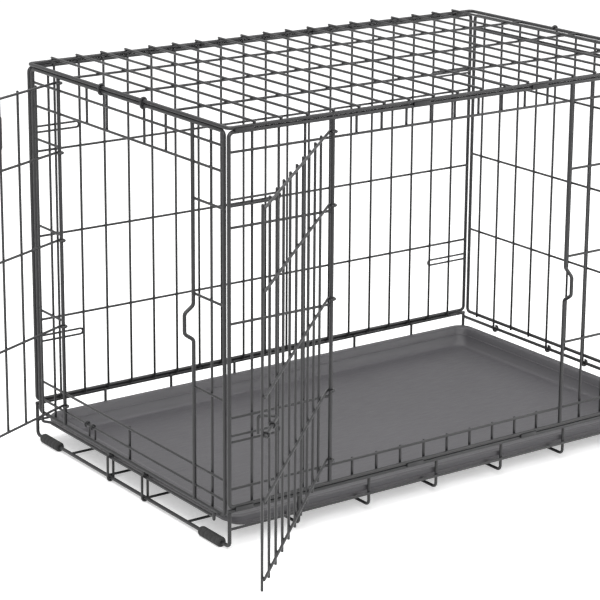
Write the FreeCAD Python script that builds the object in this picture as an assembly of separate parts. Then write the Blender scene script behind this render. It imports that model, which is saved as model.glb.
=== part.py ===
# Folding wire dog crate: base, four wire panels, roof, two doors with slide bolts, pan and pan stops.
# Millimetres. +X runs along the crate, -Y is the long side with the big door, -X is the end with the
# small door and +Z is up. Both doors stand open at rest. The heights below are measured from the
# ground; the finished pieces are set down so that the origin is the centre of the pan's floor.
import FreeCAD, Part
import math
import os

os.makedirs("parts", exist_ok=True)
V = FreeCAD.Vector

# ---- overall sizes
crate_length = 762.0
crate_width = 483.0
crate_height = 533.0

# ---- wires
frame_wire = 5.0
fill_wire = 3.4
base_wire = 4.8
cross_wire = 4.0
hook_wire = 3.0
stop_wire = 2.6
weld_gap = 0.04
hinge_clearance = 0.09
loose_clearance = 0.5
corner_bend = 6.0

# ---- grid
long_gaps = 20
hinge_post_gap = 4
latch_post_gap = 14
side_row_gap = 91.0
front_opening_low = 80.0
front_band = 24.0
panel_bottom = 57.0

# ---- end panels
end_post_y = 161.0
end_opening_low = 88.0
end_band = 49.0
end_band_row_drop = 18.0
end_row_low_gap = 102.0
end_row_high_gap = 45.0
end_low_row = 62.0
end_bottom_rail = 43.2
end_band_stub_y = 95.0
right_vertical_gaps = 12
right_bottom_rise = 11.0
pan_slide_clearance = 2.21
roof_seat = 0.42

# ---- base
base_rail_z = 6.2
low_rail_z = 28.0
cross_count = 6
floor_wire_count = 4
foot_diameter = 13.2
foot_length = 46.0
foot_inset = 42.0

# ---- pan
pan_foot_clearance = 0.5
pan_seat_gap = 0.3
pan_height = 24.6
pan_wall = 2.5
pan_lip = 9.0
pan_slope = 15.0
pan_side_clearance = 1.0
pan_corner = 22.0
pan_rib_height = 1.2

# ---- doors
front_door_open = 136.4
end_door_open = 65.0
door_row_shift = 7.0
door_bar_end = 3.0
front_door_drop = 9.0
end_door_drop = 18.0
end_door_top_gap = 8.0
door_edge_gap = 10.0
door_overhang = 5.5
front_door_gaps = 10
end_door_gaps = 8
bolt_drop = 37.0
catch_reach = 13.0
catch_half = 13.0
catch_spread = 9.0
catch_bend = 6.0
bolt_wire = 4.0
bolt_reach = 22.0
bolt_back = 62.0
bolt_travel = 18.0
guide_wire = 2.4

# ---- hooks, clips and plate
clip_clearance = 0.95
clip_wall = 1.2
clip_mouth = 2.6
clip_gaps = [7, 12]
hook_low = 144.0
hook_high_drop = 96.0
hook_gaps = 2
hook_half = 4.0
top_hook_y = 50.5
link_y = 43.0
gate_half = 214.0
gate_tip = 10.0
stop_y = 96.0
stop_half = 7.5
plate_length = 102.0
plate_height = 46.0
plate_thickness = 2.0

stub_hook_gap = 5.5

# ---- derived planes
pitch = crate_length / long_gaps
rf = frame_wire / 2
rt = fill_wire / 2
rb = base_wire / 2
rc = cross_wire / 2
frame_x = crate_length / 2 - rf
frame_y = crate_width / 2 - rf
bar_layer = rf + rt + weld_gap
row_layer = bar_layer - fill_wire - weld_gap
roof_cross_z = crate_height - rt
roof_edge_z = roof_cross_z - bar_layer
roof_long_z = roof_cross_z - fill_wire - weld_gap
panel_top = roof_edge_z - frame_wire - weld_gap
side_rail_z = panel_bottom - frame_wire - weld_gap
bar_y = frame_y - bar_layer
row_y = frame_y - row_layer
riser_y = frame_y - rf - rc - weld_gap
end_top = roof_edge_z - frame_wire - weld_gap
swing_top = roof_edge_z - frame_wire - roof_seat
end_side_y = riser_y - rc - 0.9 - rf
clip_length = pitch - rt - rf - corner_bend - 2 * clip_clearance
pan_bottom = base_rail_z + foot_diameter / 2 + pan_foot_clearance
cross_z = pan_bottom - pan_seat_gap - rc
floor_wire_z = cross_z - rc - rt - weld_gap
pan_floor = pan_bottom + pan_wall
rim_z = pan_bottom + pan_height
eye = rb + hinge_clearance + rt
hinge_rail_z = rim_z + pan_slide_clearance + eye + rt
right_bottom_row = hinge_rail_z + right_bottom_rise

# ---- derived rows
front_opening_high = panel_top - front_band
front_middle = (front_opening_low + front_opening_high) / 2
side_rows = [front_opening_low + side_row_gap, front_middle, front_opening_high - side_row_gap]
end_opening_high = end_top - end_band
end_band_row = end_top - end_band_row_drop
end_row_first = end_opening_low + end_row_low_gap
end_row_last = end_opening_high - end_row_high_gap
end_middle = (end_row_first + end_row_last) / 2
end_rows = [end_row_first, end_middle, end_row_last]
front_door_rows = [z + door_row_shift for z in [front_opening_low] + side_rows + [front_opening_high]]
end_door_rows = ([end_opening_low - end_door_drop] + [z - door_row_shift for z in end_rows]
                 + [end_top - end_door_top_gap])
front_door_low = front_opening_low - front_door_drop
front_door_high = front_door_rows[-1] + door_bar_end
end_door_low = end_door_rows[0] - door_bar_end
end_door_high = end_door_rows[-1] + door_bar_end
front_bolt_z = front_middle - bolt_drop
end_bolt_z = end_middle - bolt_drop
hook_heights = [hook_low, crate_height - hook_high_drop]
plate_low = (end_door_rows[-2] + end_door_rows[-1] - plate_height) / 2
plate_high = plate_low + plate_height
plate_centre = end_post_y


def rod(a, b, d):
    a = V(*a)
    b = V(*b)
    return Part.makeCylinder(d / 2, (b - a).Length, a, b - a)


def turned(start, direction, centre, axis, angle, d):
    """A round wire bent about an axis, from start, running in direction."""
    ring = Part.Face(Part.Wire(Part.makeCircle(d / 2, V(*start), V(*direction))))
    return ring.revolve(V(*centre), V(*axis), angle)


def bent(points, d, bend):
    """A wire through points: straight runs and elbows, each its own solid, face to face."""
    p = [V(*q) for q in points]
    out = []
    start = p[0]
    for i in range(1, len(p) - 1):
        a = (p[i] - p[i - 1]).normalize()
        b = (p[i + 1] - p[i]).normalize()
        angle = a.getAngle(b)
        t = bend * math.tan(angle / 2)
        e0 = p[i] - a * t
        axis = a.cross(b).normalize()
        centre = e0 + axis.cross(a).normalize() * bend
        if (e0 - start).Length > 1e-6:
            out.append(Part.makeCylinder(d / 2, (e0 - start).Length, start, a))
        out.append(turned(e0, a, centre, axis, math.degrees(angle), d))
        start = p[i] + b * t
    out.append(Part.makeCylinder(d / 2, (p[-1] - start).Length, start, p[-1] - start))
    return out


def joined(pieces):
    """One bent wire as a single solid."""
    whole = pieces[0].fuse(pieces[1:])
    return whole.removeSplitter()


def frame_loop(to_world, u0, u1, v0, v1, d, bend):
    """A closed rectangle of wire: four straight sides and four elbows."""
    out = []
    corners = [(u0, v0), (u1, v0), (u1, v1), (u0, v1)]
    for i in range(4):
        a = corners[i]
        b = corners[(i + 1) % 4]
        c = corners[(i + 2) % 4]
        la = math.hypot(b[0] - a[0], b[1] - a[1])
        lb = math.hypot(c[0] - b[0], c[1] - b[1])
        ab = ((b[0] - a[0]) / la, (b[1] - a[1]) / la)
        bc = ((c[0] - b[0]) / lb, (c[1] - b[1]) / lb)
        s = to_world(a[0] + ab[0] * bend, a[1] + ab[1] * bend)
        e = to_world(b[0] - ab[0] * bend, b[1] - ab[1] * bend)
        f = to_world(b[0] + bc[0] * bend, b[1] + bc[1] * bend)
        out.append(rod(s, e, d))
        k = to_world(b[0] - ab[0] * bend + bc[0] * bend, b[1] - ab[1] * bend + bc[1] * bend)
        a1 = V(*e) - V(*s)
        b1 = V(*f) - V(*k)
        axis = a1.cross(V(*k) - V(*e)).normalize()
        out.append(turned(e, tuple(a1), k, tuple(axis), 90, d))
    return out


def save(name, pieces):
    flat = []
    for piece in pieces:
        flat.extend(piece.Solids)
    shape = flat[0] if len(flat) == 1 else Part.makeCompound(flat)
    shape = shape.translated(V(0, 0, -pan_floor))
    shape.exportStep("parts/" + name + ".step")


def along(count):
    return [-crate_length / 2 + i * pitch for i in count]


def butt(d, offset=0.0, end_d=fill_wire):
    """How far a wire's end stands off the centre of the wire that it butts against."""
    r = d / 2
    near = min(max(abs(offset) - end_d / 2, 0.0), r)
    return math.sqrt(r * r - near * near) + weld_gap


# ================= base =================
end_frames = []
for sx in (-1, 1):
    x = sx * frame_x
    top = side_rail_z - rf - weld_gap
    end_frames += bent(
        [(x, -frame_y, top), (x, -frame_y, base_rail_z), (x, frame_y, base_rail_z), (x, frame_y, top)],
        base_wire, corner_bend)
save("base_end_frames", end_frames)

side_rails = []
low_rail_y = riser_y + rc + rt + weld_gap
for sy in (-1, 1):
    side_rails.append(rod((-frame_x - rf, sy * frame_y, side_rail_z),
                          (frame_x + rf, sy * frame_y, side_rail_z), frame_wire))
    stand = butt(base_wire, frame_y - low_rail_y)
    side_rails.append(rod((-frame_x + stand, sy * low_rail_y, low_rail_z),
                          (frame_x - stand, sy * low_rail_y, low_rail_z), fill_wire))
save("base_side_rails", side_rails)

cross_wires = []
cross_step = crate_length / (cross_count + 1)
riser_top = side_rail_z + rf
for k in range(1, cross_count + 1):
    x = -crate_length / 2 + k * cross_step
    cross_wires += bent(
        [(x, -riser_y, riser_top), (x, -riser_y, cross_z), (x, riser_y, cross_z), (x, riser_y, riser_top)],
        cross_wire, corner_bend)
save("base_cross_wires", cross_wires)

floor_wires = []
floor_step = crate_width / (floor_wire_count + 1)
for k in range(floor_wire_count):
    y = (k - (floor_wire_count - 1) / 2) * floor_step
    reach = frame_x - butt(base_wire, base_rail_z - floor_wire_z)
    floor_wires.append(rod((-reach, y, floor_wire_z), (reach, y, floor_wire_z), fill_wire))
save("base_floor_wires", floor_wires)

hinge_rail_end = frame_y - butt(base_wire)
save("right_hinge_rail",
     [rod((frame_x, -hinge_rail_end, hinge_rail_z), (frame_x, hinge_rail_end, hinge_rail_z), base_wire)])

feet = []
foot_centre = crate_width / 2 - foot_inset
for sx in (-1, 1):
    for sy in (-1, 1):
        y0 = sy * foot_centre - foot_length / 2
        a = (sx * frame_x, y0, base_rail_z)
        b = (sx * frame_x, y0 + foot_length, base_rail_z)
        sleeve = rod(a, b, foot_diameter).cut(rod((a[0], a[1] - 1, a[2]), (b[0], b[1] + 1, b[2]),
                                                  base_wire + 2 * weld_gap))
        below = Part.makeBox(foot_diameter * 2, foot_length + 4, foot_diameter,
                             V(sx * frame_x - foot_diameter, y0 - 2, -foot_diameter))
        feet.append(sleeve.cut(below))
save("rubber_feet", feet)

# ================= front panel =================
hinge_x = -crate_length / 2 + hinge_post_gap * pitch
latch_x = -crate_length / 2 + latch_post_gap * pitch


def side_plane(sy):
    return lambda u, v: (u, sy * frame_y, v)


save("front_panel_frame", frame_loop(side_plane(-1), -frame_x, frame_x, panel_bottom, panel_top,
                                     frame_wire, corner_bend))
post_low = panel_bottom + rf + weld_gap
post_high = panel_top - rf - weld_gap


def catch_post(place, low, high, centre):
    """An upright with an outward jog that the door's bolt slides behind. place(n, z) gives a point."""
    half = catch_half
    line = [(0, low), (0, centre - half - catch_spread), (catch_reach, centre - half),
            (catch_reach, centre + half), (0, centre + half + catch_spread), (0, high)]
    return bent([place(n, z) for n, z in line], frame_wire, catch_bend)


save("front_hinge_post", [rod((hinge_x, -frame_y, post_low), (hinge_x, -frame_y, post_high), frame_wire)])
save("front_latch_post",
     catch_post(lambda n, z: (latch_x, -frame_y - n, z), post_low, post_high, front_bolt_z))

bar_low = panel_bottom - rf
bar_high = panel_top + rf
front_bars = []
for i in range(1, long_gaps):
    x = -crate_length / 2 + i * pitch
    if i in (hinge_post_gap, latch_post_gap):
        continue
    if hinge_post_gap < i < latch_post_gap:
        front_bars.append(rod((x, -bar_y, bar_low), (x, -bar_y, front_opening_low + rt), fill_wire))
        front_bars.append(rod((x, -bar_y, front_opening_high - rt), (x, -bar_y, bar_high), fill_wire))
    else:
        front_bars.append(rod((x, -bar_y, bar_low), (x, -bar_y, bar_high), fill_wire))
save("front_panel_bars", front_bars)

stand = butt(frame_wire, row_layer)
sections = [(-frame_x, hinge_x), (hinge_x, latch_x), (latch_x, frame_x)]
front_rows = []
for z in side_rows:
    for x0, x1 in (sections[0], sections[2]):
        front_rows.append(rod((x0 + stand, -row_y, z), (x1 - stand, -row_y, z), fill_wire))
for z in (front_opening_low, front_opening_high):
    for x0, x1 in sections:
        front_rows.append(rod((x0 + stand, -row_y, z), (x1 - stand, -row_y, z), fill_wire))
save("front_panel_rows", front_rows)

# ================= back panel =================
save("back_panel_frame", frame_loop(side_plane(1), -frame_x, frame_x, panel_bottom, panel_top,
                                    frame_wire, corner_bend))
save("back_panel_bars",
     [rod((x, bar_y, bar_low), (x, bar_y, bar_high), fill_wire) for x in along(range(1, long_gaps))])
save("back_panel_rows",
     [rod((-frame_x + stand, row_y, z), (frame_x - stand, row_y, z), fill_wire) for z in side_rows])

# ================= roof =================
save("roof_frame", frame_loop(lambda u, v: (u, v, roof_edge_z), -frame_x, frame_x, -frame_y, frame_y,
                              frame_wire, corner_bend))
save("roof_cross_wires",
     [rod((x, -frame_y - rf, roof_cross_z), (x, frame_y + rf, roof_cross_z), fill_wire)
      for x in along(range(1, long_gaps))])
roof_stand = butt(frame_wire, roof_long_z - roof_edge_z)
save("roof_long_wires",
     [rod((-frame_x + roof_stand, y, roof_long_z), (frame_x - roof_stand, y, roof_long_z), fill_wire)
      for y in (-crate_width / 4, 0, crate_width / 4)])

# ================= left end panel =================
save("left_panel_frame", frame_loop(lambda u, v: (-frame_x, u, v), -end_side_y, end_side_y,
                                    end_bottom_rail, end_top, frame_wire, corner_bend))
end_post_low = end_bottom_rail + rf + weld_gap
end_post_high = end_top - rf - weld_gap
save("end_hinge_post",
     [rod((-frame_x, end_post_y, end_post_low), (-frame_x, end_post_y, end_post_high), frame_wire)])
save("end_latch_post",
     catch_post(lambda n, z: (-frame_x - n, -end_post_y, z), end_post_low, end_post_high, end_bolt_z))

end_bar_x = frame_x - bar_layer
end_row_x = frame_x - row_layer
side_bar_y = (end_post_y + end_side_y) / 2
left_bars = []
for sy in (-1, 1):
    left_bars.append(rod((-end_bar_x, sy * side_bar_y, end_bottom_rail - rf),
                         (-end_bar_x, sy * side_bar_y, end_top + rf), fill_wire))
    for y in (top_hook_y - stub_hook_gap, end_band_stub_y):
        left_bars.append(rod((-end_bar_x, sy * y, end_opening_high - rt), (-end_bar_x, sy * y, end_top + rf),
                             fill_wire))
left_bars.append(rod((-end_bar_x, 0, end_bottom_rail - rf), (-end_bar_x, 0, end_opening_low + rt), fill_wire))
save("left_panel_bars", left_bars)

left_rows = []
for z in end_rows:
    for sy in (-1, 1):
        y0 = sy * (end_post_y + stand)
        y1 = sy * (end_side_y - stand)
        left_rows.append(rod((-end_row_x, y0, z), (-end_row_x, y1, z), fill_wire))
for z in (end_low_row, end_opening_low, end_opening_high, end_band_row):
    cuts = [-end_side_y, -end_post_y, end_post_y, end_side_y]
    for y0, y1 in zip(cuts[:-1], cuts[1:]):
        left_rows.append(rod((-end_row_x, y0 + stand, z), (-end_row_x, y1 - stand, z), fill_wire))
save("left_panel_rows", left_rows)

# ================= right end panel, folding inward about the hinge rail =================
save("right_panel_frame", frame_loop(lambda u, v: (frame_x, u, v), -end_side_y, end_side_y,
                                     right_bottom_row, swing_top, frame_wire, corner_bend))
right_step = crate_width / right_vertical_gaps
right_bars = []
right_eyes = []
for k in range(-5, 6):
    y = k * right_step
    if abs(k) in (1, 4):
        shank = rod((frame_x - eye, y, swing_top + rf), (frame_x - eye, y, hinge_rail_z), fill_wire)
        loop = turned((frame_x - eye, y, hinge_rail_z), (0, 0, -1), (frame_x, y, hinge_rail_z),
                      (0, -1, 0), 270, fill_wire)
        right_eyes += [shank, loop]
    else:
        right_bars.append(rod((end_bar_x, y, right_bottom_row - rf), (end_bar_x, y, swing_top + rf),
                              fill_wire))
save("right_panel_bars", right_bars)
save("right_panel_hinge_wires", right_eyes)
save("right_panel_rows",
     [rod((end_row_x, -end_side_y + stand, z), (end_row_x, end_side_y - stand, z), fill_wire)
      for z in end_rows + [end_band_row]])

# ================= clips round the paired edge wires =================


def clip(x, sy, z_low, z_high):
    inner = rf + weld_gap
    outer = inner + clip_wall

    def oval(r):
        body = Part.makeBox(clip_length, 2 * r, z_high - z_low,
                            V(x - clip_length / 2, sy * frame_y - r, z_low))
        for z in (z_low, z_high):
            body = body.fuse(Part.makeCylinder(r, clip_length, V(x - clip_length / 2, sy * frame_y, z),
                                               V(1, 0, 0)))
        return body

    shell = oval(outer).cut(oval(inner))
    mid = (z_low + z_high) / 2
    mouth = Part.makeBox(clip_length + 2, outer, clip_mouth, V(x - clip_length / 2 - 1,
                                                              -outer if sy > 0 else 0, mid - clip_mouth / 2))
    mouth.translate(V(0, sy * frame_y, 0))
    return shell.cut(mouth).removeSplitter()


corner_clip_x = frame_x - corner_bend - clip_clearance - clip_length / 2
clip_x = [-corner_clip_x, corner_clip_x] + [-crate_length / 2 + (i + 0.5) * pitch for i in clip_gaps]
save("front_top_clips", [clip(x, -1, panel_top, roof_edge_z) for x in clip_x])
save("back_top_clips", [clip(x, 1, panel_top, roof_edge_z) for x in clip_x])
save("front_bottom_clips", [clip(x, -1, side_rail_z, panel_bottom) for x in clip_x])
save("back_bottom_clips", [clip(x, 1, side_rail_z, panel_bottom) for x in clip_x])

# ================= hooks between the end panels and their neighbours =================
hook_y = bar_y + rt + weld_gap + hook_wire / 2
hook_tip = crate_length / 2 - hook_gaps * pitch
hook_root = frame_x - butt(frame_wire, frame_y - hook_y, hook_wire)


def side_hook(sx, sy, z):
    r = hook_half
    legs = [rod((sx * hook_root, sy * hook_y, z + s * r), (sx * (hook_tip + r), sy * hook_y, z + s * r),
                hook_wire) for s in (-1, 1)]
    round_end = turned((sx * (hook_tip + r), sy * hook_y, z - r), (-sx, 0, 0),
                       (sx * (hook_tip + r), sy * hook_y, z), (0, sx, 0), 180, hook_wire)
    return joined([legs[0], round_end, legs[1]])


for name, sx in (("left_side_hooks", -1), ("right_side_hooks", 1)):
    save(name, [side_hook(sx, sy, z) for sy in (-1, 1) for z in hook_heights])


def link(x, y, z_low, z_high, r, d):
    """A closed oval of wire standing in the plane across y, round two wires."""
    out = []
    for s in (-1, 1):
        out.append(rod((x + s * r, y, z_low), (x + s * r, y, z_high), d))
    out.append(turned((x - r, y, z_high), (0, 0, 1), (x, y, z_high), (0, 1, 0), 180, d))
    out.append(turned((x + r, y, z_low), (0, 0, -1), (x, y, z_low), (0, 1, 0), 180, d))
    return joined(out)


top_hook_r = rf + weld_gap + hook_wire / 2
save("left_top_hooks",
     [link(-frame_x, sy * top_hook_y, end_top, roof_edge_z, top_hook_r, hook_wire) for sy in (-1, 1)])


def top_stop(y):
    """A hook over the roof's end wire that stops the panel swinging outward."""
    r = rf + roof_seat + hook_wire / 2
    x = frame_x
    over = turned((x - r, y, roof_edge_z), (0, 0, 1), (x, y, roof_edge_z), (0, 1, 0), 180, hook_wire)
    down = rod((x + r, y, roof_edge_z), (x + r, y, swing_top - rf), hook_wire)
    return joined([over, down])


save("right_top_hooks", [top_stop(sy * top_hook_y) for sy in (-1, 1)])

# ================= pan =================
pan_half_y = riser_y - rc - pan_side_clearance
link_inner = rb + hinge_clearance + fill_wire
pan_half_x = frame_x - link_inner - pan_side_clearance


def slab(hx, hy, z0, z1, r, inset):
    """A block with rounded corners, its foot drawn in by inset."""
    def outline(ax, ay, radius, z):
        face = Part.makePlane(2 * ax, 2 * ay, V(-ax, -ay, z))
        box = face.extrude(V(0, 0, 1))
        upright = [e for e in box.Edges if abs(e.Vertexes[0].Z - e.Vertexes[1].Z) > 0.5]
        rounded = box.makeFillet(radius, upright)
        low = [f for f in rounded.Faces if abs(f.CenterOfMass.z - z) < 1e-6][0]
        return low.OuterWire

    return Part.makeLoft([outline(hx - inset, hy - inset, r, z0), outline(hx, hy, r, z1)], True, True)


body_x = pan_half_x - pan_lip
body_y = pan_half_y - pan_lip
outer = slab(body_x, body_y, pan_bottom, rim_z, pan_corner, pan_slope)
inner = slab(body_x - pan_wall, body_y - pan_wall, pan_floor, rim_z + 0.01, pan_corner - pan_wall,
             pan_slope)
lip = slab(pan_half_x, pan_half_y, rim_z - pan_wall, rim_z, pan_corner, 0.0)
skirt_out = slab(pan_half_x, pan_half_y, rim_z - 3 * pan_wall, rim_z - pan_wall, pan_corner, 0.0)
skirt_in = slab(pan_half_x - pan_wall, pan_half_y - pan_wall, rim_z - 3 * pan_wall, rim_z - pan_wall,
                pan_corner - pan_wall, 0.0)
pan = outer.fuse([lip, skirt_out.cut(skirt_in)]).cut(inner)
save("pan", [pan.removeSplitter()])

# ================= pan gate: legs ringed round the left floor rail, flipping down outward =================
link_r = rb + hinge_clearance + rt
gate_z = end_bottom_rail - rf - 0.6 - link_r - rt
gate_bar = bent([(-frame_x - gate_tip * 0.6, -gate_half, gate_z + gate_tip),
                 (-frame_x - gate_tip * 0.6, -gate_half, gate_z),
                 (-frame_x, -gate_half + gate_tip, gate_z),
                 (-frame_x, gate_half - gate_tip, gate_z),
                 (-frame_x - gate_tip * 0.6, gate_half, gate_z),
                 (-frame_x - gate_tip * 0.6, gate_half, gate_z + gate_tip)], cross_wire, 3.0)
save("pan_gate_bar", gate_bar)
save("pan_gate_links",
     [link(-frame_x, sy * link_y, base_rail_z, gate_z, link_r, fill_wire) for sy in (-1, 1)])

# ================= pan stop: a small loop hung on the end panel's low row =================
stop_r = rt + stop_wire / 2 + 0.4
stop_x = -end_row_x
stop_low = rim_z + 4.0
stop_pieces = []
for s in (-1, 1):
    y = stop_y + s * stop_half
    stop_pieces.append(turned((stop_x + stop_r, y, end_low_row), (0, 0, 1), (stop_x, y, end_low_row),
                              (0, -1, 0), 250, stop_wire))
leg_x = stop_x + stop_r
legs = bent([(leg_x, stop_y - stop_half, end_low_row), (leg_x, stop_y - stop_half, stop_low),
             (leg_x, stop_y + stop_half, stop_low), (leg_x, stop_y + stop_half, end_low_row)],
            stop_wire, 3.0)
save("pan_stop", [joined([stop_pieces[0]] + legs + [stop_pieces[1]])])

# ================= doors =================
door_eye = rf + hinge_clearance + rt
door_bar_n = door_eye + fill_wire + weld_gap
bolt_n = door_bar_n - rt - 0.4 - bolt_wire / 2


class Door:
    """A door turned about its hinge post: u runs from the hinge to the free edge, n points outward."""

    def __init__(self, hinge, closed, open_angle, opening, gaps):
        turn = math.radians(closed - open_angle)
        self.h = hinge
        self.u = (math.cos(turn), math.sin(turn))
        self.n = (math.cos(turn - math.pi / 2), math.sin(turn - math.pi / 2))
        self.edge = opening - door_edge_gap
        self.gaps = gaps
        self.opening = opening

    def at(self, u, n, z):
        return (self.h[0] + u * self.u[0] + n * self.n[0], self.h[1] + u * self.u[1] + n * self.n[1], z)

    def along_u(self, s=1):
        return (s * self.u[0], s * self.u[1], 0)

    def bars(self, low, high):
        step = self.edge / self.gaps
        return [rod(self.at(k * step, door_bar_n, low), self.at(k * step, door_bar_n, high), fill_wire)
                for k in range(1, self.gaps + 1)]

    def rows(self, heights):
        out = []
        for z in heights:
            line = rod(self.at(self.edge + door_overhang, door_eye, z), self.at(0, door_eye, z), fill_wire)
            loop = turned(self.at(0, door_eye, z), self.along_u(-1), (self.h[0], self.h[1], z),
                          (0, 0, -1), 270, fill_wire)
            out.append(joined([line, loop]))
        return out

    def guides(self, z):
        out = []
        ring_r = bolt_wire / 2 + hinge_clearance + guide_wire / 2
        step = self.edge / self.gaps
        side = rt + guide_wire / 2 + weld_gap
        for u in (self.edge - step + side, self.edge - side):
            out.append(Part.makeTorus(ring_r, guide_wire / 2, V(*self.at(u, bolt_n, z)), V(*self.along_u())))
        return out

    def bolt(self, z):
        tip = self.edge + 3.0
        back = tip - bolt_back - 3.0
        path = [self.at(tip, bolt_n, z), self.at(back, bolt_n, z), self.at(back, bolt_n + bolt_reach, z),
                self.at(back, bolt_n + bolt_reach, z - bolt_reach)]
        return joined(bent(path, bolt_wire, 5.0))


front_door = Door((hinge_x, -frame_y), 0, front_door_open, latch_x - hinge_x, front_door_gaps)
end_door = Door((-frame_x, end_post_y), -90, end_door_open, 2 * end_post_y, end_door_gaps)
save("front_door_bars", front_door.bars(front_door_low, front_door_high))
save("front_door_hinge_wires", front_door.rows(front_door_rows))
save("front_bolt_guides", front_door.guides(front_bolt_z))
save("front_bolt", [front_door.bolt(front_bolt_z)])
save("end_door_bars", end_door.bars(end_door_low, end_door_high))
save("end_door_hinge_wires", end_door.rows(end_door_rows))
save("end_bolt_guides", end_door.guides(end_bolt_z))
save("end_bolt", [end_door.bolt(end_bolt_z)])

# a bare plate on the end door, held by four bent tabs
plate_n = door_bar_n + rt + weld_gap
u0 = plate_centre - plate_length / 2
p = [end_door.at(u0, plate_n, plate_low), end_door.at(u0 + plate_length, plate_n, plate_low)]
edge = V(*p[1]) - V(*p[0])
out_n = V(end_door.n[0], end_door.n[1], 0) * plate_thickness
foot = Part.Face(Part.makePolygon([V(*p[0]), V(*p[1]), V(*p[1]) + out_n, V(*p[0]) + out_n, V(*p[0])]))
plate = foot.extrude(V(0, 0, plate_high - plate_low))
plate_normal = V(end_door.n[0], end_door.n[1], 0)
across = [e for e in plate.Edges
          if abs((e.Vertexes[1].Point - e.Vertexes[0].Point).normalize().dot(plate_normal)) > 0.99]
save("name_plate", [plate.makeFillet(5.0, across)])
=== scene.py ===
"""Folding wire dog crate: wires, clips, feet, pan, doors and bolts, with a small studio."""
import math

import bmesh
import bpy
from bpy.props import FloatProperty, FloatVectorProperty, IntProperty, PointerProperty
from mathutils import Matrix, Vector


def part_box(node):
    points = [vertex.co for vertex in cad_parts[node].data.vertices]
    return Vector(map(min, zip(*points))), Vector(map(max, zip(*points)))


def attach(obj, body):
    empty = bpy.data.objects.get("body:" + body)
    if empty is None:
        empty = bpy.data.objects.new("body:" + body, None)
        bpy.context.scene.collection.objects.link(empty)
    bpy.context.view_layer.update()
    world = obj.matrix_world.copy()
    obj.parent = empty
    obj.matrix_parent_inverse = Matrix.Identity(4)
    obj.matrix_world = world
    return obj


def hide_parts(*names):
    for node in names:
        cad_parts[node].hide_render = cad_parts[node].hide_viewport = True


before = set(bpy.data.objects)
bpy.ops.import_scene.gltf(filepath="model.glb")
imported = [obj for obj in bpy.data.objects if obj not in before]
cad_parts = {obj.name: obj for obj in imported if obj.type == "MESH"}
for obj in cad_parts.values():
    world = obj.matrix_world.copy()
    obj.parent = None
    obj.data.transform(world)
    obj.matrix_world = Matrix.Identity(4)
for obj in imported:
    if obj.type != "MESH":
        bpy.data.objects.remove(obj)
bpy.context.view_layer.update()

bl_info = {
    "name": "Wire dog crate",
    "version": (1, 0, 0),
    "blender": (4, 5, 0),
    "location": "3D View > Sidebar > Crate",
    "description": "Builds the wires, clips, feet, pan, doors and bolts of a folding dog crate",
    "category": "Add Mesh",
}

# ---- planes and edges taken from the frame
ROOF_LOW, ROOF_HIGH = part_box("roof_frame")
ROOF_WIRES_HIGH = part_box("roof_cross_wires")[1]
FRONT_LOW, FRONT_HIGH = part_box("front_panel_frame")
LEFT_LOW, LEFT_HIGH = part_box("left_panel_frame")
RIGHT_LOW, RIGHT_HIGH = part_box("right_panel_frame")
RAILS_LOW, RAILS_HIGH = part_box("base_side_rails")
RISERS_LOW, RISERS_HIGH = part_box("base_cross_wires")
PAN_LOW, PAN_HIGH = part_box("pan")
CRATE_LENGTH = ROOF_HIGH.x - ROOF_LOW.x
CRATE_WIDTH = ROOF_HIGH.y - ROOF_LOW.y
ROOF_TOP = ROOF_WIRES_HIGH.z
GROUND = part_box("rubber_feet")[0].z


class CrateWires(bpy.types.PropertyGroup):
    """Wire thicknesses and bends."""

    frame_wire: FloatProperty(name="Frame wire", description="Thickness of the panels' edge wires",
                              default=0.005, unit="LENGTH")
    fill_wire: FloatProperty(name="Fill wire", description="Thickness of the bars and rows",
                             default=0.0034, unit="LENGTH")
    base_wire: FloatProperty(name="Base wire", description="Thickness of the two floor rails",
                             default=0.0048, unit="LENGTH")
    cross_wire: FloatProperty(name="Cross wire", description="Thickness of the wires under the pan",
                              default=0.004, unit="LENGTH")
    hook_wire: FloatProperty(name="Hook wire", description="Thickness of the hooks",
                             default=0.003, unit="LENGTH")
    corner_bend: FloatProperty(name="Corner bend", description="Radius of the frames' corners",
                               default=0.006, unit="LENGTH")
    weld_swell: FloatProperty(name="Weld swell", description="How far a weld spreads, as a share of the wire",
                              default=1.05, min=0.5, max=1.6, subtype="FACTOR")


class CrateGrid(bpy.types.PropertyGroup):
    """Spacing of the bars and rows."""

    long_gaps: IntProperty(name="Long gaps", description="Gaps along the crate", default=20)
    hinge_gap: IntProperty(name="Hinge post gap", description="Gaps before the door's hinge post", default=4)
    latch_gap: IntProperty(name="Latch post gap", description="Gaps before the door's latch post", default=14)
    end_gaps: IntProperty(name="End gaps", description="Gaps across the fold-in end panel", default=12)
    row_gap: FloatProperty(name="Row gap", description="Rise from the doorway's sill to the first row",
                           default=0.091, unit="LENGTH")
    sill: FloatProperty(name="Sill", description="Height of the side doorway's sill wire",
                        default=0.080, unit="LENGTH")
    head_band: FloatProperty(name="Head band", description="Height of the band over the side doorway",
                             default=0.024, unit="LENGTH")
    end_sill: FloatProperty(name="End sill", description="Height of the end doorway's sill wire",
                            default=0.088, unit="LENGTH")
    end_band: FloatProperty(name="End band", description="Height of the band over the end doorway",
                            default=0.049, unit="LENGTH")
    end_post: FloatProperty(name="End post", description="Distance of the end posts from the middle",
                            default=0.161, unit="LENGTH")
    link_place: FloatProperty(name="Link place", description="Distance of the gate's links from the middle",
                              default=0.043, unit="LENGTH")


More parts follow.
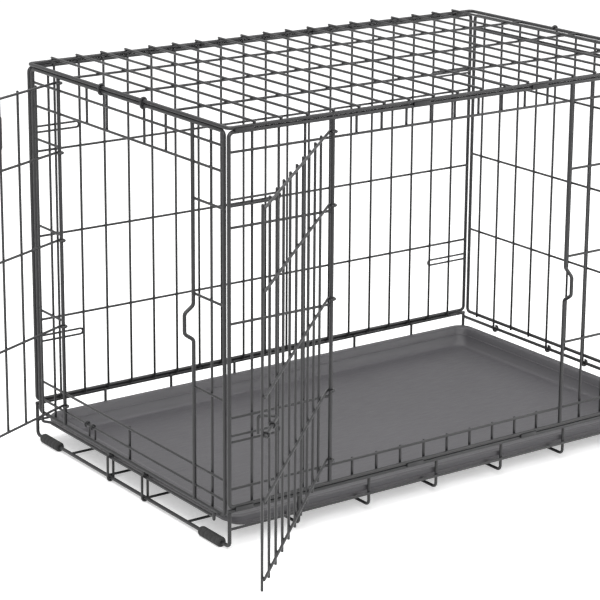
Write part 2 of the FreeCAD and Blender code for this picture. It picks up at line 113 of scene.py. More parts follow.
class CrateDoors(bpy.types.PropertyGroup):
    """How far the doors stand open, and their bolts."""

    front_open: FloatProperty(name="Side door", description="How far the side door stands open",
                              default=math.radians(136.4), subtype="ANGLE")
    end_open: FloatProperty(name="End door", description="How far the end door stands open",
                            default=math.radians(65.0), subtype="ANGLE")
    bolt_wire: FloatProperty(name="Bolt wire", description="Thickness of the slide bolts",
                             default=0.004, unit="LENGTH")
    plate_length: FloatProperty(name="Plate length", description="Length of the bare plate",
                                default=0.102, unit="LENGTH")
    plate_height: FloatProperty(name="Plate height", description="Height of the bare plate",
                                default=0.046, unit="LENGTH")


class CratePan(bpy.types.PropertyGroup):
    """The floor pan."""

    wall: FloatProperty(name="Wall", description="Thickness of the pan", default=0.0025, unit="LENGTH")
    lip: FloatProperty(name="Lip", description="Width of the rim", default=0.009, unit="LENGTH")
    slope: FloatProperty(name="Slope", description="How far the walls lean in", default=0.015, unit="LENGTH")
    corner: FloatProperty(name="Corner", description="Radius of the pan's corners", default=0.022,
                          unit="LENGTH")


class CrateColours(bpy.types.PropertyGroup):
    """Colours of the finishes."""

    coat: FloatVectorProperty(name="Wire coat", description="Black coat on the wires", subtype="COLOR",
                              size=4, default=(0.0125, 0.0125, 0.0135, 1.0), min=0.0, max=1.0)
    steel: FloatVectorProperty(name="Clip steel", description="Blackened steel of the clips", subtype="COLOR",
                               size=4, default=(0.010, 0.010, 0.011, 1.0), min=0.0, max=1.0)
    rubber: FloatVectorProperty(name="Foot rubber", description="Rubber of the feet", subtype="COLOR",
                                size=4, default=(0.022, 0.022, 0.022, 1.0), min=0.0, max=1.0)
    pan: FloatVectorProperty(name="Pan plastic", description="Moulded plastic of the pan", subtype="COLOR",
                             size=4, default=(0.050, 0.048, 0.053, 1.0), min=0.0, max=1.0)
    plate: FloatVectorProperty(name="Plate", description="Plate on the end door", subtype="COLOR",
                               size=4, default=(0.024, 0.024, 0.026, 1.0), min=0.0, max=1.0)
    floor: FloatVectorProperty(name="Floor", description="Studio floor", subtype="COLOR",
                               size=4, default=(0.86, 0.86, 0.86, 1.0), min=0.0, max=1.0)


class CrateSettings(bpy.types.PropertyGroup):
    """Everything a user would change on the crate."""

    wires: PointerProperty(type=CrateWires)
    grid: PointerProperty(type=CrateGrid)
    doors: PointerProperty(type=CrateDoors)
    pan: PointerProperty(type=CratePan)
    colours: PointerProperty(type=CrateColours)


# ---- layout shared by the pieces
# gaps between wires that touch, and round a post inside an eye
TOUCH = 0.00004
EYE_PLAY = 0.00009
# wires under the pan, across the crate and along it
CROSS_WIRES = 6
FLOOR_WIRES = 4
# heights of the end panels' rows, and of the doors' rows against them
END_ROW_LOW_GAP = 0.102
END_ROW_HIGH_GAP = 0.045
END_BAND_ROW_DROP = 0.018
BOLT_DROP = 0.037
DOOR_ROW_SHIFT = 0.007
END_DOOR_DROP = 0.018
END_DOOR_TOP_GAP = 0.008
# the short bars over the end doorway
STUB_HOOK_GAP = 0.0055
STUB_PLACE = 0.095
# how far a row curls round its post
EYE_CURL = math.radians(262)
# the doors: space at the free edge, row ends past the last bar, slack of the bolt
DOOR_EDGE_GAP = 0.010
ROW_OVERHANG = 0.0055
BOLT_SLACK = 0.0004


class Layout:
    """Planes and spacings of the crate, from its settings and the frame's boxes."""

    def __init__(self, settings):
        w, g, d = settings.wires, settings.grid, settings.doors
        self.wires, self.grid, self.doors, self.pan = w, g, d, settings.pan
        self.rf, self.rt = w.frame_wire / 2, w.fill_wire / 2
        self.rb, self.rc = w.base_wire / 2, w.cross_wire / 2
        self.frame_x = CRATE_LENGTH / 2 - self.rf
        self.frame_y = CRATE_WIDTH / 2 - self.rf
        self.bar_layer = self.rf + self.rt + TOUCH
        self.row_layer = self.bar_layer - w.fill_wire - TOUCH
        self.bar_y = self.frame_y - self.bar_layer
        self.row_y = self.frame_y - self.row_layer
        self.end_bar_x = self.frame_x - self.bar_layer
        self.end_row_x = self.frame_x - self.row_layer
        self.pitch = CRATE_LENGTH / g.long_gaps
        self.panel_low = FRONT_LOW.z + self.rf
        self.panel_high = FRONT_HIGH.z - self.rf
        self.roof_edge = ROOF_HIGH.z - self.rf
        self.roof_cross = ROOF_TOP - self.rt
        self.roof_long = self.roof_cross - w.fill_wire - TOUCH
        self.rail_z = RAILS_HIGH.z - self.rf
        self.low_rail_z = RAILS_LOW.z + self.rt
        self.riser_y = RISERS_HIGH.y - self.rc
        self.cross_z = RISERS_LOW.z + self.rc
        self.left_low, self.left_high = LEFT_LOW.z + self.rf, LEFT_HIGH.z - self.rf
        self.right_low, self.right_high = RIGHT_LOW.z + self.rf, RIGHT_HIGH.z - self.rf
        self.end_side = LEFT_HIGH.y - self.rf
        head = self.panel_high - g.head_band
        self.sill = GROUND + g.sill
        self.end_sill = GROUND + g.end_sill
        middle = (self.sill + head) / 2
        self.head = head
        self.side_rows = [self.sill + g.row_gap, middle, head - g.row_gap]
        self.end_head = self.left_high - g.end_band
        first, last = self.end_sill + END_ROW_LOW_GAP, self.end_head - END_ROW_HIGH_GAP
        end_middle = (first + last) / 2
        self.end_rows = [first, end_middle, last]
        self.band_row = self.left_high - END_BAND_ROW_DROP
        self.front_bolt_z = middle - BOLT_DROP
        self.end_bolt_z = end_middle - BOLT_DROP
        self.front_door_rows = [z + DOOR_ROW_SHIFT for z in [self.sill] + self.side_rows + [head]]
        self.end_door_rows = ([self.end_sill - END_DOOR_DROP] + [z - DOOR_ROW_SHIFT for z in self.end_rows]
                              + [self.left_high - END_DOOR_TOP_GAP])
        self.hinge_x = -CRATE_LENGTH / 2 + g.hinge_gap * self.pitch
        self.latch_x = -CRATE_LENGTH / 2 + g.latch_gap * self.pitch

    def along(self, numbers):
        return [-CRATE_LENGTH / 2 + i * self.pitch for i in numbers]


# ---- wire bending
def loose_verts(edges):
    return list({v for e in edges for v in e.verts})


def push(bm, edges, step):
    """Draws an open edge loop out by step."""
    made = bmesh.ops.extrude_edge_only(bm, edges=edges)["geom"]
    verts = [g for g in made if isinstance(g, bmesh.types.BMVert)]
    new = set(verts)
    bmesh.ops.translate(bm, verts=verts, vec=step)
    return [g for g in made if isinstance(g, bmesh.types.BMEdge) and all(v in new for v in g.verts)]


def swing(bm, edges, centre, axis, angle, steps):
    """Carries an open edge loop round an axis."""
    made = bmesh.ops.spin(bm, geom=edges + loose_verts(edges), cent=centre, axis=axis, dvec=(0, 0, 0),
                          angle=angle, steps=steps, use_merge=False, use_duplicate=False)["geom_last"]
    verts = {g for g in made if isinstance(g, bmesh.types.BMVert)}
    return [g for g in made if isinstance(g, bmesh.types.BMEdge) and all(v in verts for v in g.verts)]


class Bender:
    """A round wire drawn out of a start point, run by run and bend by bend."""

    def __init__(self, bm, start, heading, thick, sides=12, open_end=False):
        self.bm = bm
        self.r = thick / 2
        self.heading = Vector(heading).normalized()
        self.here = Vector(start)
        self.tip = 0.0 if open_end else 0.55 * self.r
        turn = self.heading.to_track_quat("Z", "Y").to_matrix().to_4x4()
        self.here = self.here + self.heading * self.tip
        made = bmesh.ops.create_circle(bm, cap_ends=False, segments=sides, radius=self.r,
                                       matrix=Matrix.Translation(self.here) @ turn)
        self.edges = list({e for v in made["verts"] for e in v.link_edges})
        if not open_end:
            self.cap(self.edges, -self.heading)

    def cap(self, edges, way):
        """A sheared end with its edge rounded by the coat."""
        for step, width in ((0.35, 0.86), (0.2, 0.5)):
            edges = push(self.bm, edges, way * self.r * step)
            verts = loose_verts(edges)
            middle = sum((v.co for v in verts), Vector()) / len(verts)
            bmesh.ops.scale(self.bm, vec=(width,) * 3, space=Matrix.Translation(-middle), verts=verts)
        bmesh.ops.edgeloop_fill(self.bm, edges=edges)

    def run(self, length):
        self.edges = push(self.bm, self.edges, self.heading * length)
        self.here = self.here + self.heading * length
        return self

    def turn(self, centre, axis, angle, steps=6):
        centre, axis = Vector(centre), Vector(axis).normalized()
        self.edges = swing(self.bm, self.edges, centre, axis, angle, steps)
        spun = Matrix.Rotation(angle, 3, axis)
        self.here = centre + spun @ (self.here - centre)
        self.heading = spun @ self.heading
        return self

    def stop(self):
        self.cap(self.edges, self.heading)
        return self


def wire(bm, points, thick, bend=0.0, sides=12, steps=5):
    """A wire through points, bent at each one between its ends."""
    p = [Vector(q) for q in points]
    b = Bender(bm, p[0], p[1] - p[0], thick, sides)
    for i in range(1, len(p) - 1):
        a, c = (p[i] - p[i - 1]).normalized(), (p[i + 1] - p[i]).normalized()
        angle = a.angle(c)
        elbow = p[i] - a * (bend * math.tan(angle / 2))
        b.run((elbow - b.here).length)
        axis = a.cross(c).normalized()
        b.turn(elbow + axis.cross(a) * bend, axis, angle, steps)
    b.run((p[-1] - b.here).length - b.tip)
    b.stop()


def hoop(bm, corners, thick, bend, sides=12, steps=6):
    """A closed wire round four corners."""
    p = [Vector(c) for c in corners]
    n = len(p)
    start = (p[0] + p[1]) / 2
    b = Bender(bm, start, p[1] - p[0], thick, sides, open_end=True)
    for i in range(1, n + 1):
        here, after = p[i % n], p[(i + 1) % n]
        a, c = b.heading.copy(), (after - here).normalized()
        angle = a.angle(c)
        elbow = here - a * (bend * math.tan(angle / 2))
        b.run((elbow - b.here).length)
        axis = a.cross(c).normalized()
        b.turn(elbow + axis.cross(a) * bend, axis, angle, steps)
    b.run((start - b.here).length)


def rounded_ring(bm, half_x, half_y, radius, segments, place, keep_face=False):
    """A rectangle with rounded corners; returns its edges."""
    verts = bmesh.ops.create_grid(bm, x_segments=1, y_segments=1, size=1.0, matrix=place
                                  @ Matrix.Diagonal((half_x, half_y, 1.0, 1.0)))["verts"]
    verts = bmesh.ops.bevel(bm, geom=verts, offset=radius, offset_type="OFFSET", segments=segments,
                            profile=0.5, affect="VERTICES", material=-1)["verts"]
    face = verts[0].link_faces[0]
    edges = list(face.edges)
    if not keep_face:
        bmesh.ops.delete(bm, geom=[face], context="FACES_ONLY")
    return edges


def weld(bm, at, normal, spread, depth):
    """The small swelling where two wires are fused."""
    turn = Vector(normal).to_track_quat("Z", "Y").to_matrix().to_4x4()
    shape = Matrix.Diagonal((spread, spread, depth, 1.0))
    bmesh.ops.create_uvsphere(bm, u_segments=8, v_segments=5, radius=1.0,
                              matrix=Matrix.Translation(at) @ turn @ shape)


def cross_weld(bm, at, normal, k):
    """The weld where a bar crosses a row or an edge wire."""
    weld(bm, at, normal, k.rt * k.wires.weld_swell, k.rt * 0.5)


def finished(bm, name, material, sharp=None):
    """Closes the seams, turns the faces outwards and makes the piece."""
    bmesh.ops.remove_doubles(bm, verts=bm.verts, dist=0.000005)
    bmesh.ops.recalc_face_normals(bm, faces=bm.faces)
    for face in bm.faces:
        face.smooth = True
    mesh = bpy.data.meshes.new(name)
    bm.to_mesh(mesh)
    bm.free()
    if sharp is not None:
        mesh.set_sharp_from_angle(angle=sharp)
    mesh.materials.append(material)
    piece = bpy.data.objects.new(name, mesh)
    bpy.context.collection.objects.link(piece)
    return piece


def fit_piece(piece, body, nodes):
    """Sets the piece on its body in place of the frame's plain nodes."""
    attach(piece, body)
    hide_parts(*nodes)
    for node in nodes:
        dress(node, piece.data.materials[0])


def dress(node, material):
    plain = bpy.data.objects.get(node)
    if plain is not None:
        plain.data.materials.clear()
        plain.data.materials.append(material)


def coated(bm, name, body, nodes):
    """A piece of coated wire, set on its body."""
    fit_piece(finished(bm, name, finish("black_wire_coat")), body, nodes)


# ---- finishes
def new_finish(name):
    material = bpy.data.materials.new(name)
    material.use_nodes = True
    tree = material.node_tree
    tree.nodes.clear()
    output = tree.nodes.new("ShaderNodeOutputMaterial")
    shader = tree.nodes.new("ShaderNodeBsdfPrincipled")
    place = tree.nodes.new("ShaderNodeTexCoord")
    tree.links.new(shader.outputs["BSDF"], output.inputs["Surface"])
    return material, tree, shader, place.outputs["Object"]


def grain(tree, place, scale, detail=3.0, rough=0.55):
    noise = tree.nodes.new("ShaderNodeTexNoise")
    noise.inputs["Scale"].default_value = scale
    noise.inputs["Detail"].default_value = detail
    noise.inputs["Roughness"].default_value = rough
    tree.links.new(place, noise.inputs["Vector"])
    return noise.outputs["Fac"]


def ramp(tree, value, stops):
    made = tree.nodes.new("ShaderNodeValToRGB")
    first, last = stops[0], stops[-1]
    made.color_ramp.elements[0].position, made.color_ramp.elements[0].color = first
    made.color_ramp.elements[1].position, made.color_ramp.elements[1].color = last
    for position, colour in stops[1:-1]:
        made.color_ramp.elements.new(position).color = colour
    tree.links.new(value, made.inputs["Fac"])
    return made.outputs["Color"]


def spread(tree, value, low, high):
    made = tree.nodes.new("ShaderNodeMapRange")
    made.inputs["From Min"].default_value = 0.3
    made.inputs["From Max"].default_value = 0.7
    made.inputs["To Min"].default_value = low
    made.inputs["To Max"].default_value = high
    tree.links.new(value, made.inputs["Value"])
    return made.outputs["Result"]


def relief(tree, shader, height, strength, distance):
    bump = tree.nodes.new("ShaderNodeBump")
    bump.inputs["Strength"].default_value = strength
    bump.inputs["Distance"].default_value = distance
    tree.links.new(height, bump.inputs["Height"])
    tree.links.new(bump.outputs["Normal"], shader.inputs["Normal"])


def shade(colour, share):
    return (colour[0] * share, colour[1] * share, colour[2] * share, 1.0)


def baked_coat(name, colour, rough_low, rough_high, peel):
    """Black coat: slow drifts of tone, thin spots, and the fine peel of a dipped finish."""
    material, tree, shader, place = new_finish(name)
    drift = grain(tree, place, 14.0, 4.0)
    tone = ramp(tree, drift, [(0.30, shade(colour, 0.78)), (0.55, shade(colour, 1.0)),
                              (0.80, shade(colour, 1.35))])
    tree.links.new(tone, shader.inputs["Base Color"])
    wear = grain(tree, place, 160.0, 5.0, 0.65)
    tree.links.new(spread(tree, wear, rough_low, rough_high), shader.inputs["Roughness"])
    relief(tree, shader, grain(tree, place, 900.0, 2.0), peel, 0.0004)
    return material


def moulded_rubber(colour):
    """Matt rubber with a faint bloom."""
    material, tree, shader, place = new_finish("foot_rubber_matt")
    bloom = grain(tree, place, 70.0, 5.0)
    tone = ramp(tree, bloom, [(0.35, shade(colour, 0.8)), (0.75, shade(colour, 1.7))])
    tree.links.new(tone, shader.inputs["Base Color"])
    tree.links.new(spread(tree, bloom, 0.72, 0.88), shader.inputs["Roughness"])
    relief(tree, shader, grain(tree, place, 1400.0, 2.0), 0.25, 0.0004)
    return material


def moulded_pan(colour):
    """Dark moulded plastic: fine leather grain, scuffs from paws, slight drift of tone."""
    material, tree, shader, place = new_finish("pan_plastic_grained")
    drift = grain(tree, place, 5.0, 4.0)
    tone = ramp(tree, drift, [(0.30, shade(colour, 0.88)), (0.52, shade(colour, 1.0)),
                              (0.78, shade(colour, 1.10))])
    tree.links.new(tone, shader.inputs["Base Color"])
    stretch = tree.nodes.new("ShaderNodeMapping")
    stretch.inputs["Scale"].default_value = (1.0, 6.0, 1.0)
    tree.links.new(place, stretch.inputs["Vector"])
    scuffs = grain(tree, stretch.outputs["Vector"], 38.0, 6.0, 0.7)
    tree.links.new(spread(tree, scuffs, 0.40, 0.52), shader.inputs["Roughness"])
    cells = tree.nodes.new("ShaderNodeTexVoronoi")
    cells.inputs["Scale"].default_value = 850.0
    tree.links.new(place, cells.inputs["Vector"])
    relief(tree, shader, cells.outputs["Distance"], 0.22, 0.0005)
    return material


def finish(name):
    """One finish of the crate, made the first time that it is asked for."""
    made = bpy.data.materials.get(name)
    if made is not None:
        return made
    c = bpy.context.scene.crate.colours
    if name == "black_wire_coat":
        return baked_coat(name, tuple(c.coat), 0.36, 0.50, 0.16)
    if name == "clip_steel_black":
        return baked_coat(name, tuple(c.steel), 0.30, 0.44, 0.08)
    if name == "foot_rubber_matt":
        return moulded_rubber(tuple(c.rubber))
    if name == "pan_plastic_grained":
        return moulded_pan(tuple(c.pan))
    if name == "plate_black":
        return baked_coat(name, tuple(c.plate), 0.42, 0.55, 0.22)
    raise ValueError("no finish called " + name)


class PieceOperator:
    """What the piece operators share."""

    bl_options = {"REGISTER", "UNDO"}

    def execute(self, context):
        self.build(Layout(context.scene.crate))
        return {"FINISHED"}


# ---- base
class CRATE_OT_base(PieceOperator, bpy.types.Operator):
    """Floor rails, side rails, the wires that cross under the pan and the hinge rail"""

    bl_idname = "crate.base"
    bl_label = "Base wires"

    def build(self, k):
        w = k.wires
        bm = bmesh.new()
        floor_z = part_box("base_end_frames")[0].z + k.rb
        top = k.rail_z - k.rf - TOUCH
        for sx in (-1, 1):
            x = sx * k.frame_x
            wire(bm, [(x, -k.frame_y, top), (x, -k.frame_y, floor_z), (x, k.frame_y, floor_z),
                      (x, k.frame_y, top)], w.base_wire, w.corner_bend)
            for sy in (-1, 1):
                weld(bm, (x, sy * k.frame_y, top), (0, 0, 1), k.rf * 1.1, k.rf * 0.4)
        low_y = k.riser_y + k.rc + k.rt + TOUCH
        step = CRATE_LENGTH / (CROSS_WIRES + 1)
        crossings = [-CRATE_LENGTH / 2 + n * step for n in range(1, CROSS_WIRES + 1)]
        for sy in (-1, 1):
            wire(bm, [(-k.frame_x - k.rf, sy * k.frame_y, k.rail_z),
                      (k.frame_x + k.rf, sy * k.frame_y, k.rail_z)], w.frame_wire)
            wire(bm, [(-k.frame_x, sy * low_y, k.low_rail_z), (k.frame_x, sy * low_y, k.low_rail_z)],
                 w.fill_wire)
            for sx in (-1, 1):
                weld(bm, (sx * (k.frame_x - k.rb), sy * low_y, k.low_rail_z), (1, 0, 0),
                     k.rt * 1.3, k.rt * 0.7)
            for x in crossings:
                weld(bm, (x, sy * (k.riser_y + k.rc), k.rail_z), (0, 1, 0), k.rc * w.weld_swell, k.rc * 0.5)
                cross_weld(bm, (x, sy * (k.riser_y + k.rc), k.low_rail_z), (0, 1, 0), k)
        for x in crossings:
            wire(bm, [(x, -k.riser_y, k.rail_z + k.rf), (x, -k.riser_y, k.cross_z),
                      (x, k.riser_y, k.cross_z), (x, k.riser_y, k.rail_z + k.rf)],
                 w.cross_wire, w.corner_bend)
        floor_wires_z = (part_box("base_floor_wires")[0].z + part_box("base_floor_wires")[1].z) / 2
        for n in range(FLOOR_WIRES):
            y = (n - (FLOOR_WIRES - 1) / 2) * CRATE_WIDTH / (FLOOR_WIRES + 1)
            wire(bm, [(-k.frame_x, y, floor_wires_z), (k.frame_x, y, floor_wires_z)], w.fill_wire)
            for x in crossings:
                cross_weld(bm, (x, y, floor_wires_z + k.rt), (0, 0, 1), k)
            for sx in (-1, 1):
                weld(bm, (sx * (k.frame_x - k.rb), y, floor_wires_z), (1, 0, 0), k.rt * 1.3, k.rt * 0.7)
        low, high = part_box("right_hinge_rail")
        z = (low.z + high.z) / 2
        wire(bm, [(k.frame_x, low.y, z), (k.frame_x, high.y, z)], w.base_wire)
        for y in (low.y, high.y):
            weld(bm, (k.frame_x, y, z), (0, 1, 0), k.rb * 1.25, k.rb * 0.5)
        coated(bm, "base_wires", "crate_box", ["base_end_frames", "base_side_rails", "base_cross_wires",
                "base_floor_wires", "right_hinge_rail"])


class CRATE_OT_feet(PieceOperator, bpy.types.Operator):
    """Rubber sleeves on the floor rails, flat where they stand"""

    bl_idname = "crate.feet"
    bl_label = "Rubber feet"

    def build(self, k):
        bm = bmesh.new()
        length, radius, from_end = 0.046, 0.0066, 0.042
        rib_start, rib_end, ribs = 0.0065, 0.0011, 5
        rib_top, rib_depth = 0.0006, 0.95
        rail_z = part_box("rubber_feet")[1].z - radius
        grooves = ((0.0, 0.80), (0.0008, 0.93), (0.0022, 1.0))
        for sx in (-1, 1):
            for sy in (-1, 1):
                middle = sy * (CRATE_WIDTH / 2 - from_end)
                start = Vector((sx * k.frame_x, middle - length / 2, rail_z))
                turn = Vector((0, 1, 0)).to_track_quat("Z", "X").to_matrix().to_4x4()
                made = bmesh.ops.create_circle(bm, cap_ends=False, segments=32, radius=k.rb,
                                               matrix=Matrix.Translation(start) @ turn)
                edges = list({e for v in made["verts"] for e in v.link_edges})
                at = 0.0
                profile = [(d, radius * s) for d, s in grooves]
                for n in range(ribs):
                    y = rib_start + n * (length - 2 * rib_start) / (ribs - 1)
                    profile += [(y - rib_end, radius), (y - rib_top, radius * rib_depth),
                                (y + rib_top, radius * rib_depth), (y + rib_end, radius)]
                profile += [(length - d, radius * s) for d, s in reversed(grooves)] + [(length, k.rb)]
                width = k.rb
                for y, r in profile:
                    edges = push(bm, edges, Vector((0, y - at, 0)))
                    here = Vector((start.x, start.y + y, start.z))
                    bmesh.ops.scale(bm, vec=(r / width, 1.0, r / width), space=Matrix.Translation(-here),
                                    verts=loose_verts(edges))
                    at, width = y, r
        bmesh.ops.bisect_plane(bm, geom=bm.verts[:] + bm.edges[:] + bm.faces[:], dist=0.000001,
                               plane_co=(0, 0, GROUND), plane_no=(0, 0, -1), clear_outer=True)
        holes = [e for e in bm.edges
                 if e.is_boundary and all(abs(v.co.z - GROUND) < 0.00001 for v in e.verts)]
        bmesh.ops.holes_fill(bm, edges=holes, sides=0)
        fit_piece(finished(bm, "foot_sleeves", finish("foot_rubber_matt"), math.radians(40)), "crate_box",
                  ["rubber_feet"])


# ---- panels
def side_point(sy, k):
    return lambda x, z: (x, sy * k.frame_y, z)


def catch_post(bm, place, low, high, centre, k):
    """An upright with the outward jog that a door's bolt slides behind."""
    reach, half, spread_out, bend = 0.013, 0.013, 0.009, 0.006
    line = [(0, low), (0, centre - half - spread_out), (reach, centre - half), (reach, centre + half),
            (0, centre + half + spread_out), (0, high)]
    wire(bm, [place(n, z) for n, z in line], k.wires.frame_wire, bend)


def post_welds(bm, points, k):
    for p in points:
        weld(bm, p, (0, 0, 1), k.rf * 1.12, k.rf * 0.45)


def row_end_welds(bm, x0, x1, y, z, k):
    """Where a row's two ends are fused to the uprights on each side."""
    for x, way in ((x0 + k.rf * 0.92, 1), (x1 - k.rf * 0.92, -1)):
        weld(bm, (x, y, z), (way, 0, 0), k.rt * 1.25, k.rt * 0.6)


class CRATE_OT_front_panel(PieceOperator, bpy.types.Operator):
    """The long side with the big doorway"""

    bl_idname = "crate.front_panel"
    bl_label = "Front panel"

    def build(self, k):
        w, g = k.wires, k.grid
        bm = bmesh.new()
        at = side_point(-1, k)
        hoop(bm, [at(-k.frame_x, k.panel_low), at(k.frame_x, k.panel_low), at(k.frame_x, k.panel_high),
                  at(-k.frame_x, k.panel_high)], w.frame_wire, w.corner_bend)
        wire(bm, [at(k.hinge_x, k.panel_low), at(k.hinge_x, k.panel_high)], w.frame_wire)
        catch_post(bm, lambda n, z: (k.latch_x, -k.frame_y - n, z), k.panel_low, k.panel_high,
                   k.front_bolt_z, k)
        post_welds(bm, [at(x, z) for x in (k.hinge_x, k.latch_x)
                        for z in (k.panel_low + k.rf, k.panel_high - k.rf)], k)
        low, high = k.panel_low - k.rf, k.panel_high + k.rf
        edge_y = -(k.frame_y - k.rf)
        row_touch = -(k.bar_y + k.rt)
        for i in range(1, g.long_gaps):
            x = -CRATE_LENGTH / 2 + i * k.pitch
            if i in (g.hinge_gap, g.latch_gap):
                continue
            doorway = g.hinge_gap < i < g.latch_gap
            if doorway:
                wire(bm, [(x, -k.bar_y, low), (x, -k.bar_y, k.sill + k.rt)], w.fill_wire)
                wire(bm, [(x, -k.bar_y, k.head - k.rt), (x, -k.bar_y, high)], w.fill_wire)
            else:
                wire(bm, [(x, -k.bar_y, low), (x, -k.bar_y, high)], w.fill_wire)
            rows = [k.sill, k.head] if doorway else [k.sill] + k.side_rows + [k.head]
            for z in rows:
                cross_weld(bm, (x, row_touch, z), (0, 1, 0), k)
            for z in (k.panel_low, k.panel_high):
                cross_weld(bm, (x, edge_y, z), (0, 1, 0), k)
        spans = [(-k.frame_x, k.hinge_x), (k.hinge_x, k.latch_x), (k.latch_x, k.frame_x)]
        for z in [k.sill] + k.side_rows + [k.head]:
            for n, (x0, x1) in enumerate(spans):
                if n == 1 and z not in (k.sill, k.head):
                    continue
                wire(bm, [(x0, -k.row_y, z), (x1, -k.row_y, z)], w.fill_wire)
                row_end_welds(bm, x0, x1, -k.row_y, z, k)
        coated(bm, "front_side_wires", "crate_box", ["front_panel_frame", "front_hinge_post",
                "front_latch_post", "front_panel_bars", "front_panel_rows"])


class CRATE_OT_back_panel(PieceOperator, bpy.types.Operator):
    """The long side with no door"""

    bl_idname = "crate.back_panel"
    bl_label = "Back panel"

    def build(self, k):
        w = k.wires
        bm = bmesh.new()
        at = side_point(1, k)
        hoop(bm, [at(-k.frame_x, k.panel_low), at(k.frame_x, k.panel_low), at(k.frame_x, k.panel_high),
                  at(-k.frame_x, k.panel_high)], w.frame_wire, w.corner_bend)
        for x in k.along(range(1, k.grid.long_gaps)):
            wire(bm, [(x, k.bar_y, k.panel_low - k.rf), (x, k.bar_y, k.panel_high + k.rf)], w.fill_wire)
            for z in k.side_rows:
                cross_weld(bm, (x, k.bar_y + k.rt, z), (0, 1, 0), k)
            for z in (k.panel_low, k.panel_high):
                cross_weld(bm, (x, k.frame_y - k.rf, z), (0, 1, 0), k)
        for z in k.side_rows:
            wire(bm, [(-k.frame_x, k.row_y, z), (k.frame_x, k.row_y, z)], w.fill_wire)
            row_end_welds(bm, -k.frame_x, k.frame_x, k.row_y, z, k)
        coated(bm, "back_side_wires", "crate_box", ["back_panel_frame", "back_panel_bars",
                "back_panel_rows"])


class CRATE_OT_roof(PieceOperator, bpy.types.Operator):
    """The roof's edge, the wires across it and the three along it"""

    bl_idname = "crate.roof"
    bl_label = "Roof"

    def build(self, k):
        w = k.wires
        bm = bmesh.new()
        z = k.roof_edge
        hoop(bm, [(-k.frame_x, -k.frame_y, z), (k.frame_x, -k.frame_y, z), (k.frame_x, k.frame_y, z),
                  (-k.frame_x, k.frame_y, z)], w.frame_wire, w.corner_bend)
        rows = (-CRATE_WIDTH / 4, 0.0, CRATE_WIDTH / 4)
        for x in k.along(range(1, k.grid.long_gaps)):
            wire(bm, [(x, -k.frame_y - k.rf, k.roof_cross), (x, k.frame_y + k.rf, k.roof_cross)], w.fill_wire)
            for y in rows:
                cross_weld(bm, (x, y, k.roof_long + k.rt), (0, 0, 1), k)
            for y in (-k.frame_y, k.frame_y):
                cross_weld(bm, (x, y, z + k.rf), (0, 0, 1), k)
        for y in rows:
            wire(bm, [(-k.frame_x, y, k.roof_long), (k.frame_x, y, k.roof_long)], w.fill_wire)
            row_end_welds(bm, -k.frame_x, k.frame_x, y, k.roof_long, k)
        coated(bm, "roof_wires", "crate_box", ["roof_frame", "roof_cross_wires", "roof_long_wires"])


def end_row(bm, x, y0, y1, z, k):
    """A row across an end panel, fused to the uprights at both ends."""
    wire(bm, [(x, y0, z), (x, y1, z)], k.wires.fill_wire)
    for y, way in ((y0 + k.rf * 0.92, 1), (y1 - k.rf * 0.92, -1)):
        weld(bm, (x, y, z), (0, way, 0), k.rt * 1.25, k.rt * 0.6)


def end_welds(bm, sx, y, heights, k):
    """Welds between one upright of an end panel and the rows that cross it."""
    for z in heights:
        cross_weld(bm, (sx * (k.end_bar_x + k.rt), y, z), (1, 0, 0), k)


class CRATE_OT_door_end(PieceOperator, bpy.types.Operator):
    """The end with the small doorway"""

    bl_idname = "crate.door_end"
    bl_label = "Door end"

    def build(self, k):
        w, g = k.wires, k.grid
        bm = bmesh.new()
        x = -k.frame_x
        s = k.end_side
        hoop(bm, [(x, -s, k.left_low), (x, s, k.left_low), (x, s, k.left_high), (x, -s, k.left_high)],
             w.frame_wire, w.corner_bend)
        wire(bm, [(x, g.end_post, k.left_low), (x, g.end_post, k.left_high)], w.frame_wire)
        catch_post(bm, lambda n, z: (x - n, -g.end_post, z), k.left_low, k.left_high, k.end_bolt_z, k)
        post_welds(bm, [(x, sy * g.end_post, z) for sy in (-1, 1)
                        for z in (k.left_low + k.rf, k.left_high - k.rf)], k)
        low, high = k.left_low - k.rf, k.left_high + k.rf
        low_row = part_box("left_panel_rows")[0].z + k.rt
        full_rows = [low_row, k.end_sill, k.end_head, k.band_row]
        side = (g.end_post + s) / 2
        hook_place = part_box("left_top_hooks")[1].y - w.hook_wire / 2
        for sy in (-1, 1):
            wire(bm, [(-k.end_bar_x, sy * side, low), (-k.end_bar_x, sy * side, high)], w.fill_wire)
            end_welds(bm, -1, sy * side, full_rows + k.end_rows + [k.left_low, k.left_high], k)
            for y in (hook_place - STUB_HOOK_GAP, STUB_PLACE):
                wire(bm, [(-k.end_bar_x, sy * y, k.end_head - k.rt), (-k.end_bar_x, sy * y, high)],
                     w.fill_wire)
                end_welds(bm, -1, sy * y, [k.end_head, k.band_row, k.left_high], k)
            for z in k.end_rows:
                y0, y1 = sorted((sy * g.end_post, sy * s))
                end_row(bm, -k.end_row_x, y0, y1, z, k)
        wire(bm, [(-k.end_bar_x, 0, low), (-k.end_bar_x, 0, k.end_sill + k.rt)], w.fill_wire)
        end_welds(bm, -1, 0.0, [low_row, k.end_sill, k.left_low], k)
        for z in full_rows:
            for y0, y1 in ((-s, -g.end_post), (-g.end_post, g.end_post), (g.end_post, s)):
                end_row(bm, -k.end_row_x, y0, y1, z, k)
        coated(bm, "door_end_wires", "crate_box", ["left_panel_frame", "end_hinge_post",
                "end_latch_post", "left_panel_bars", "left_panel_rows"])


